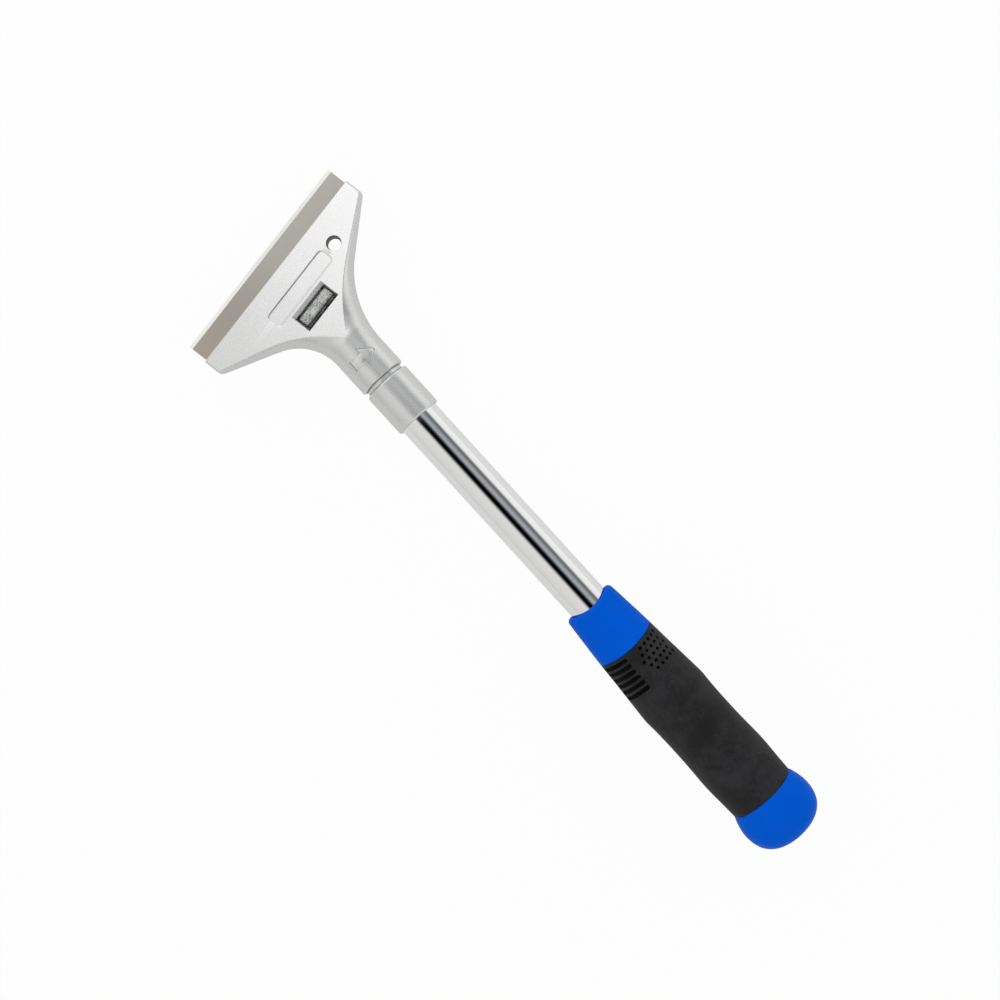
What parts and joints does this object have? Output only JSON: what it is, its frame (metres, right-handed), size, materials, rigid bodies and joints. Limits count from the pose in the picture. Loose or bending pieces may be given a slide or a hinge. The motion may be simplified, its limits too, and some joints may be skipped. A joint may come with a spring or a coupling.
{
  "type": "paint scraper",
  "caption": "Hand paint scraper: a wedge-shaped cast head clamps a wide flat blade, a screw turned by the handle works the clamp, and a chromed tube ends in a moulded grip.",
  "frame": {"origin": "centre of the bounding box of the whole scraper at rest, in the middle plane of the head", "axes": "+Y along the handle towards the blade, +Z out of the head's face with the window, +X to the right of the handle seen from above with the blade ahead"},
  "size_m": [0.1026, 0.3586, 0.0366],
  "materials": {
    "cast_silver": "fine-grained silver paint on a die casting",
    "blade_steel": "rolled steel with bright honed edges",
    "raw_casting": "rough, as cast",
    "dark_steel": "dark plain steel",
    "chrome": "polished chrome plate",
    "blue_plastic": "satin moulded plastic",
    "black_rubber": "soft matt overmould with fine grain"
  },
  "bodies": {
    "head": {"head_casting": "cast_silver"},
    "blade": {"scraper_blade": "blade_steel"},
    "clamp": {"clamp_block": "raw_casting"},
    "handle": {"clamp_screw": "dark_steel", "handle_collar": "cast_silver", "collar_pin": "dark_steel", "handle_tube": "chrome", "grip_core": "blue_plastic", "grip_overmould": "black_rubber", "grip_end_cap": "blue_plastic"}
  },
  "joints": [
    {"name": "clamp_slide", "type": "slide", "parent": "head", "child": "clamp", "axis": [0, -1, 0], "range_m": [0, 0.00125]},
    {"name": "handle_turn", "type": "hinge", "parent": "clamp", "child": "handle", "pos_m": [0.00285, 0.09421, 0], "axis": [0, -1, 0], "range_deg": [0, 360]},
    {"name": "blade_slide", "type": "slide", "parent": "head", "child": "blade", "axis": [-0.1668, 0.986, 0], "range_m": [0, 0.0088]}
  ],
  "couplings": [
    {"joint": "handle_turn", "follows": "clamp_slide", "rad_per_m": 5026.5}
  ]
}
